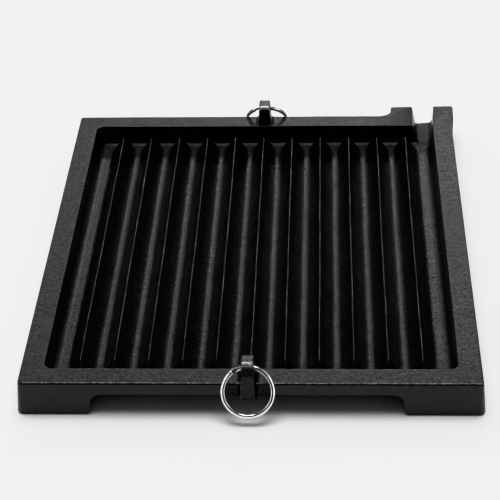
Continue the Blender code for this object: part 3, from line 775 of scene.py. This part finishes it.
# =====================================================================
# Shader helper
# =====================================================================
class Nodes:
    """Wires up shader nodes; an input may be a value, a socket or a node."""

    def __init__(self, tree):
        self.tree = tree
        tree.nodes.clear()

    def put(self, socket, value):
        if isinstance(value, bpy.types.NodeSocket):
            self.tree.links.new(value, socket)
        elif isinstance(value, bpy.types.Node):
            self.tree.links.new(value.outputs[0], socket)
        else:
            socket.default_value = value

    def add(self, kind, **inputs):
        node = self.tree.nodes.new(kind)
        for name, value in inputs.items():
            self.put(node.inputs[name.replace("_", " ")], value)
        return node

    def split(self, vector):
        return self.add("ShaderNodeSeparateXYZ", Vector=vector).outputs

    def math(self, operation, *values):
        node = self.tree.nodes.new("ShaderNodeMath")
        node.operation = operation
        for socket, value in zip(node.inputs, values):
            self.put(socket, value)
        return node.outputs[0]

    def times(self, product, *factors):
        for factor in factors:
            product = self.math('MULTIPLY', product, factor)
        return product

    def plus(self, first, second):
        return self.math('ADD', first, second)

    def minus(self, first, second):
        return self.math('SUBTRACT', first, second)

    def most(self, first, second):
        return self.math('MAXIMUM', first, second)

    def size(self, value):
        return self.math('ABSOLUTE', value)

    def without(self, value, mask):
        return self.times(value, self.minus(1.0, mask))

    def dimmed(self, value, mask, share):
        """Lowers value by the given share where the mask is 1."""
        return self.without(value, self.times(mask, share))

    def blend(self, start, end, part):
        return self.plus(start, self.times(part, self.minus(end, start)))

    def ramp(self, value, over, give=(0.0, 1.0), soft=True):
        """Maps the range over onto the range give, clamped."""
        node = self.tree.nodes.new("ShaderNodeMapRange")
        node.interpolation_type = 'SMOOTHSTEP' if soft else 'LINEAR'
        for socket, limit in zip(node.inputs[:5], (value, *over, *give)):
            self.put(socket, limit)
        return node.outputs[0]

    def zone(self, value, up=None, down=None):
        """A mask that fades in over the range up and out over the range down."""
        parts = []
        if up:
            parts.append(self.ramp(value, over=up))
        if down:
            parts.append(self.ramp(value, over=down, give=(1.0, 0.0)))
        return self.times(*parts)

    def noise(self, vector, scale, detail, roughness):
        return self.add("ShaderNodeTexNoise", Vector=vector, Scale=scale, Detail=detail,
                        Roughness=roughness).outputs["Fac"]

    def mix(self, part, first, second):
        node = self.tree.nodes.new("ShaderNodeMix")
        node.data_type = 'RGBA'
        self.put(node.inputs[0], part)
        self.put(node.inputs[6], first)
        self.put(node.inputs[7], second)
        return node.outputs[2]


def new_material(name):
    material = bpy.data.materials.new(name)
    material.use_nodes = True
    return material, Nodes(material.node_tree)


# =====================================================================
# Cast iron
# =====================================================================
SPARK = (0.22, 0.54)             # specular level in the grain's hollows and on its tops


class Iron:
    """Black paint on sand-cast iron, with worn edges, and with painted shade and painted
    highlights in zones given in metres.
    """

    def __init__(self):
        self.material, self.nodes = new_material("black_sand_cast_iron")
        nodes = self.nodes
        self.where = nodes.add("ShaderNodeTexCoord").outputs["Object"]
        self.x, self.y, self.z = nodes.split(self.where)
        self.geometry = nodes.add("ShaderNodeNewGeometry")
        self.face_x, self.face_y, self.face_z = nodes.split(self.geometry.outputs["Normal"])
        self.off_x = nodes.size(self.x)
        self.forward = nodes.times(self.face_y, -1.0)
        # sand grain of about a millimetre, paint pulled over coarser sand, slow clouds, pits
        self.grain = self.noise(scale=820.0, detail=2.0, roughness=0.6)
        self.lumps = self.noise(scale=330.0, detail=2.0, roughness=0.5)
        self.cloud = self.noise(scale=18.0, detail=3.0, roughness=0.55)
        self.pits = nodes.ramp(self.noise(scale=560.0, detail=1.0, roughness=0.5),
                               over=(0.64, 0.76))
        self.level_up = nodes.ramp(nodes.size(self.face_z), over=(0.25, 0.75))
        self.in_cove = nodes.times(              # the coves at front and back: calmer bump, and painted shade dimming their reflection
            nodes.zone(nodes.size(self.y), up=(0.1450, 0.1475)),
            nodes.zone(self.z, down=(0.0150, 0.0165)),
            nodes.zone(self.z, up=(0.0095, 0.0098)),
            nodes.zone(nodes.size(self.y), down=(0.1550, 0.1560)),
            nodes.zone(nodes.size(self.x), down=(0.1385, 0.1395)))

    def noise(self, **settings):
        return self.nodes.noise(self.where, **settings)

    def relief(self):
        """Fine grain over a broad swell; upright faces are cast smoother."""
        nodes = self.nodes
        swell = self.noise(scale=60.0, detail=1.0, roughness=0.4)
        height = nodes.plus(nodes.times(self.grain, 0.50), nodes.times(self.lumps, 0.75))
        height = nodes.minus(height, nodes.times(self.pits, 0.45))
        strength = nodes.plus(0.45, nodes.times(self.level_up, 0.55))
        strength = nodes.dimmed(strength, self.in_cove, share=0.45)
        fine = nodes.add("ShaderNodeBump", Strength=strength, Distance=0.00038, Height=height)
        return nodes.add("ShaderNodeBump", Strength=0.38, Distance=0.0006, Height=swell,
                         Normal=fine.outputs[0]).outputs[0]

    def worn(self):
        """Wear on convex edges, but not on the rim's top or the right outer face."""
        nodes = self.nodes
        worn = nodes.times(nodes.ramp(self.geometry.outputs["Pointiness"], over=(0.53, 0.62)),
                           nodes.ramp(self.lumps, over=(0.35, 0.62)))
        on_rim = nodes.times(nodes.zone(self.z, up=(0.0240, 0.0246)),
                             nodes.zone(self.face_z, up=(0.95, 0.985)))
        on_side = nodes.times(nodes.zone(self.x, up=(0.1488, 0.1494)),
                              nodes.zone(self.z, down=(0.0234, 0.0240)))
        return nodes.without(nodes.without(worn, on_rim), on_side)

    def painted_highlights(self):
        """Painted highlights on the crests (stronger towards the back), lug shoulders and front
        top edge, and lug tops lightened in speckles.
        """
        nodes, y, z = self.nodes, self.y, self.z
        crest_noise = self.noise(scale=260.0, detail=2.0, roughness=0.6)
        # painted highlight along the crests, stronger towards the back
        crest = nodes.times(
            nodes.zone(z, up=(0.0216, 0.0219), down=(0.0228, 0.0231)),
            nodes.zone(self.off_x, down=(0.1180, 0.1190)),
            nodes.zone(nodes.size(y), down=(0.1430, 0.1450)),
            nodes.ramp(crest_noise, over=(0.36, 0.60), give=(0.70, 1.05)),
            nodes.ramp(y, over=(-0.13, 0.13), give=(0.58, 1.20), soft=False))
        # painted highlight on the forward-facing lug shoulders
        shoulders = nodes.times(nodes.zone(z, up=(0.0372, 0.0382)),
                                nodes.zone(self.forward, up=(0.10, 0.35)),
                                nodes.zone(self.forward, down=(0.80, 0.95)))
        edge_noise = self.noise(scale=420.0, detail=2.0, roughness=0.6)
        # painted highlight line along the front top edge
        front_edge = nodes.times(
            nodes.zone(y, down=(-0.1693, -0.1690)),
            nodes.zone(z, up=(0.0240, 0.0246)),
            nodes.zone(z, down=(0.0262, 0.0266)),
            nodes.zone(y, up=(-0.1706, -0.1702)),
            nodes.ramp(edge_noise, over=(0.38, 0.62), give=(0.06, 0.40)))
        lug_tops = nodes.times(nodes.zone(z, up=(0.0403, 0.0408)),
                               nodes.ramp(self.lumps, over=(0.35, 0.65), give=(0.10, 0.30)))
        return nodes.most(nodes.most(nodes.most(shoulders, front_edge), lug_tops), crest)

    def roughness(self, worn):
        """Clouded and grainy, and duller on the floor at the tray's two ends."""
        nodes = self.nodes
        rough = nodes.plus(nodes.ramp(self.cloud, over=(0.3, 0.7), give=(0.255, 0.275)),
                           nodes.times(self.grain, 0.04))
        rough = nodes.plus(rough, nodes.times(worn, 0.05))
        ends = nodes.times(nodes.zone(nodes.size(self.y), up=(0.1260, 0.1400)),
                           nodes.zone(self.z, down=(0.0150, 0.0165)),
                           nodes.zone(self.z, up=(0.0095, 0.0098)),
                           nodes.zone(self.face_z, up=(0.68, 0.80)))
        return nodes.plus(rough, nodes.times(ends, 0.22))

    def sparkle(self):
        """Specular level from the grain, calmer on upright faces."""
        nodes = self.nodes
        mixed = nodes.plus(nodes.times(self.grain, 0.65), nodes.times(self.lumps, 0.35))
        spark = nodes.ramp(mixed, over=(0.36, 0.64), give=SPARK, soft=False)
        spark = nodes.dimmed(spark, self.pits, share=0.5)
        keep = nodes.plus(0.28, nodes.times(self.level_up, 0.72))
        return nodes.blend(0.5 * (SPARK[0] + SPARK[1]), spark, keep)

    def flank_shade(self):
        """Painted shade on the ridges' flanks, most of all the left ones and towards the back."""
        nodes = self.nodes
        left = nodes.times(
            nodes.zone(self.face_x, down=(-0.72, -0.40)),
            nodes.ramp(self.y, over=(-0.06, 0.12), give=(0.40, 0.68), soft=False))
        right = nodes.times(
            nodes.zone(self.face_x, up=(0.40, 0.72)),
            nodes.ramp(self.y, over=(-0.02, 0.12), give=(0.0, 0.52), soft=False))
        return nodes.times(nodes.plus(left, right),
                           nodes.zone(self.z, up=(0.0112, 0.0130), down=(0.0210, 0.0217)),
                           nodes.zone(self.off_x, down=(0.1230, 0.1240)))

    def shine(self):
        """Specular level: the sparkle, held back zone by zone as painted shade, with a little
        painted light on upright faces.
        """
        nodes, y, z = self.nodes, self.y, self.z
        # painted shade at the foot of the front edge's roll
        roll = nodes.times(nodes.zone(z, up=(0.0234, 0.0238), down=(0.0243, 0.0246)),
                           nodes.times(nodes.zone(self.forward, up=(0.6, 0.8)),
                                       nodes.zone(y, up=(-0.1708, -0.1704))))
        level = nodes.dimmed(self.sparkle(), roll, share=0.85)
        # painted light: upright faces get a little more
        level = nodes.times(level, nodes.minus(1.14, nodes.times(self.level_up, 0.14)))
        # painted shade in the coves, and more so higher up
        level = nodes.dimmed(level, self.in_cove, share=0.35)
        high = nodes.times(self.in_cove,
                           nodes.ramp(z, over=(0.0113, 0.0117), give=(0.0, 0.70)))
        level = nodes.without(level, high)
        # painted shade on faces turned sideways beside the lugs
        corner = nodes.times(nodes.zone(nodes.size(self.face_x), up=(0.22, 0.45)),
                             nodes.zone(self.off_x, down=(0.0075, 0.0095)),
                             nodes.zone(nodes.size(y), up=(0.1680, 0.1695)))
        level = nodes.dimmed(level, corner, share=0.8)
        # painted shade on level faces near the front
        near = nodes.times(self.level_up,
                           nodes.ramp(y, over=(-0.160, -0.140), give=(0.10, 0.0)))
        level = nodes.without(level, near)
        # painted shade on the ridges' flanks
        level = nodes.without(level, self.flank_shade())
        # painted shade on the ridges' sloped ends
        hip = nodes.times(nodes.zone(nodes.times(y, self.face_y), up=(0.020, 0.040)),
                          nodes.zone(nodes.size(y), down=(0.1540, 0.1560)),
                          nodes.times(nodes.zone(nodes.size(y), up=(0.1395, 0.1410)),
                                      nodes.zone(z, up=(0.0108, 0.0120))))
        level = nodes.dimmed(level, hip, share=0.60)
        # painted shade on the skirt behind a hanging ring, then on the lug's own outer face
        off_y = nodes.size(y)
        on_lug = nodes.zone(off_y, up=(0.1727, 0.1731))
        ring_shade = nodes.times(nodes.zone(self.off_x, down=(0.0100, 0.0180)),
                                  nodes.zone(z, down=(0.0236, 0.0242)),
                                  nodes.zone(off_y, up=(0.1699, 0.1703)))
        ring_shade = nodes.without(ring_shade, on_lug)
        lug_face_shade = nodes.times(on_lug, nodes.zone(self.off_x, down=(0.0062, 0.0072)))
        level = nodes.dimmed(level, ring_shade, share=0.46)
        return nodes.dimmed(level, lug_face_shade, share=0.20)

    def build(self):
        nodes = self.nodes
        worn, painted_highlights = self.worn(), self.painted_highlights()
        base = nodes.mix(nodes.ramp(self.cloud, over=(0.35, 0.7)),
                         first=(0.0013, 0.0010, 0.0012, 1), second=(0.0024, 0.0019, 0.0022, 1))
        base = nodes.mix(nodes.times(worn, 0.7), base, second=(0.060, 0.055, 0.056, 1))
        # painted highlights get a lighter colour
        base = nodes.mix(nodes.times(painted_highlights, 0.6), base, second=(0.050, 0.048, 0.048, 1))
        # a higher IOR brightens the painted highlights more, and the worn edges a little
        ior = nodes.plus(nodes.plus(1.5, nodes.times(painted_highlights, 1.25)), nodes.times(worn, 0.45))
        bsdf = nodes.add("ShaderNodeBsdfPrincipled", Base_Color=base,
                         Roughness=self.roughness(worn), Metallic=0.0, Normal=self.relief(),
                         Specular_IOR_Level=self.shine(), IOR=ior,
                         Specular_Tint=(1.0, 0.93, 0.975, 1.0))
        nodes.add("ShaderNodeOutputMaterial", Surface=bsdf)
        return self.material


# =====================================================================
# Chrome and floor
# =====================================================================
def chrome():
    material, nodes = new_material("polished_chrome_wire")
    where = nodes.add("ShaderNodeTexCoord").outputs["Object"]
    smear = nodes.noise(where, scale=420.0, detail=3.0, roughness=0.6)
    fine = nodes.noise(where, scale=2600.0, detail=2.0, roughness=0.6)
    scuffs = nodes.ramp(nodes.noise(where, scale=900.0, detail=3.0, roughness=0.7),
                        over=(0.60, 0.72))
    rough = nodes.plus(nodes.ramp(smear, over=(0.35, 0.7), give=(0.10, 0.17)),
                       nodes.times(scuffs, 0.12))
    bump = nodes.add("ShaderNodeBump", Strength=0.10, Distance=0.00005,
                     Height=nodes.plus(fine, scuffs))
    base = nodes.mix(nodes.ramp(smear, over=(0.3, 0.75)),
                     first=(0.88, 0.88, 0.885, 1), second=(0.80, 0.80, 0.81, 1))
    # painted reflection: the wire's colour is darkened where it is seen square on, standing in for
    # the dark front it mirrors
    square_on = nodes.add("ShaderNodeLayerWeight", Blend=0.5).outputs["Facing"]
    base = nodes.mix(nodes.ramp(square_on, over=(0.012, 0.075)),
                     first=(0.10, 0.10, 0.102, 1), second=base)
    bsdf = nodes.add("ShaderNodeBsdfPrincipled", Base_Color=base, Roughness=rough, Metallic=1.0,
                     Normal=bump.outputs[0])
    nodes.add("ShaderNodeOutputMaterial", Surface=bsdf)
    return material


def pale_floor():
    """Matt and pale, but clear to a camera below it."""
    material, nodes = new_material("pale_floor")
    where = nodes.add("ShaderNodeTexCoord").outputs["Object"]
    pale = nodes.mix(nodes.noise(where, scale=3.0, detail=2.0, roughness=0.5),
                     first=(0.825, 0.825, 0.825, 1), second=(0.835, 0.835, 0.835, 1))
    paper = nodes.add("ShaderNodeBsdfPrincipled", Base_Color=pale, Roughness=0.75,
                      Specular_IOR_Level=0.2)
    clear = nodes.add("ShaderNodeBsdfTransparent")
    ray = nodes.add("ShaderNodeLightPath")
    geometry = nodes.add("ShaderNodeNewGeometry")
    from_below = nodes.times(ray.outputs["Is Camera Ray"], geometry.outputs["Backfacing"])
    both = nodes.add("ShaderNodeMixShader")
    for socket, value in zip(both.inputs, (from_below, paper, clear)):
        nodes.put(socket, value)
    nodes.add("ShaderNodeOutputMaterial", Surface=both)
    return material


iron = Iron().build()
plating = chrome()
casting.data.materials.clear()
casting.data.materials.append(iron)
for ring_object in split_rings:
    ring_object.data.materials.append(plating)
for name, node in frame["nodes"].items():        # the hidden CAD pieces get the same finish
    for slot in node.material_slots:
        slot.material = iron if name == "grill_plate" else plating

bpy.ops.mesh.primitive_circle_add(vertices=96, radius=14.0, fill_type='NGON', location=(0, 0, 0))
floor = bpy.context.object
floor.name = "studio_floor"
floor.data.materials.append(pale_floor())


# =====================================================================
# World: the only light, brightest overhead and low at the back
# =====================================================================
def studio_world():
    world = bpy.data.worlds.new("studio")
    bpy.context.scene.world = world
    world.use_nodes = True
    nodes = Nodes(world.node_tree)
    x, y, z = nodes.split(nodes.add("ShaderNodeTexCoord").outputs["Generated"])
    ray = nodes.add("ShaderNodeLightPath")
    glossy = ray.outputs["Is Glossy Ray"]
    camera = ray.outputs["Is Camera Ray"]

    # glow at the back, with a brighter spot near the middle
    spot = nodes.times(nodes.ramp(x, over=(-0.12, 0.03), give=(0.0, 1.45)),
                       nodes.ramp(z, over=(0.53, 0.62), give=(1.0, 0.20)),
                       nodes.ramp(x, over=(0.06, 0.14), give=(1.0, 0.66)))
    glow = nodes.times(nodes.ramp(z, over=(0.40, 0.47), give=(0.02, 1.0)),
                       nodes.ramp(z, over=(0.50, 0.61), give=(2.40, 0.318)),
                       nodes.ramp(x, over=(0.10, 0.32), give=(1.0, 0.22)),
                       nodes.plus(1.0, spot))

    # cards seen only as reflections: low strips between ahead and side, and a band
    flat = nodes.math('SQRT', nodes.plus(nodes.times(x, x), nodes.times(y, y)))
    # 0 straight ahead, 1 to the side
    sideways = nodes.math('DIVIDE', nodes.size(x), nodes.most(flat, 0.001))
    strip = nodes.times(nodes.zone(sideways, up=(0.47, 0.62), down=(0.94, 0.985)),
                        nodes.zone(z, down=(0.50, 0.60)), glossy)
    band = nodes.zone(z, up=(0.33, 0.41), down=(0.56, 0.67))
    sides = nodes.times(nodes.zone(nodes.size(x), up=(0.42, 0.62)),
                        nodes.zone(nodes.size(y), down=(0.20, 0.42)),
                        nodes.ramp(z, over=(0.55, 0.68), give=(0.0, 0.45)))
    band = nodes.times(nodes.most(band, sides), glossy)
    cards = nodes.most(nodes.times(strip, 1.2), nodes.times(band, 1.1))

    # a dim front, a little brighter for matt surfaces
    matt = nodes.minus(1.0, glossy)
    front = nodes.plus(nodes.plus(0.05, nodes.times(matt, 0.06)), cards)
    level = nodes.blend(front, glow, nodes.ramp(y, over=(0.05, 0.55)))
    # the overhead light, a little towards the back
    overhead = nodes.ramp(nodes.plus(z, nodes.times(y, 0.16)), over=(0.895, 0.992))
    level = nodes.blend(level, 5.8, overhead)
    # the camera itself sees an even pale background
    shown = nodes.plus(nodes.without(level, camera), nodes.times(camera, 0.90))
    sky = nodes.add("ShaderNodeBackground", Color=(1.0, 1.0, 1.0, 1.0), Strength=shown)
    nodes.add("ShaderNodeOutputWorld", Surface=sky)


studio_world()

# =====================================================================
# Camera and tone
# =====================================================================
LENS = 116.5392                  # mm, on a 36 mm sensor
PITCH_DOWN = math.radians(34.753)
YAW = math.radians(-3.219)
ROLL = math.radians(-1.895)
DISTANCE = 1.1597
AIM = Vector((-0.00497, -0.02028, TOP * MM))
# brightness in and out: slightly deepened blacks and held-back whites
TONE = [(0.0, 0.0), (0.0078, 0.0017), (0.0135, 0.0054), (0.0235, 0.0158), (0.06, 0.0565),
        (0.14, 0.139), (0.30, 0.34), (0.55, 0.74), (0.80, 0.885), (0.95, 0.905), (1.0, 0.93)]


def add_camera():
    lens = bpy.data.cameras.new("camera")
    camera = bpy.data.objects.new("camera", lens)
    bpy.context.scene.collection.objects.link(camera)
    lens.sensor_width = 36.0
    lens.lens = LENS
    lens.clip_start = 0.02
    lens.clip_end = 60.0
    forward = Vector((math.sin(YAW) * math.cos(PITCH_DOWN), math.cos(YAW) * math.cos(PITCH_DOWN),
                      -math.sin(PITCH_DOWN)))
    right = forward.cross(Vector((0, 0, 1))).normalized()
    up = right.cross(forward)
    rolled_right = right * math.cos(ROLL) + up * math.sin(ROLL)
    rolled_up = up * math.cos(ROLL) - right * math.sin(ROLL)
    axes = Matrix((rolled_right, rolled_up, -forward)).transposed()
    camera.matrix_world = Matrix.Translation(AIM - forward * DISTANCE) @ axes.to_4x4()
    bpy.context.scene.camera = camera


def set_tone():
    view = bpy.context.scene.view_settings
    view.view_transform = 'Standard'
    view.look = 'None'
    view.exposure = 0.0
    view.gamma = 1.0
    view.use_curve_mapping = True
    points = view.curve_mapping.curves[3].points
    points[0].location = TONE[0]
    for x, y in TONE[1:-1]:
        points.new(x, y)
    points[len(points) - 1].location = TONE[-1]
    for point in points:
        point.handle_type = 'VECTOR'
    view.curve_mapping.update()


add_camera()
set_tone()
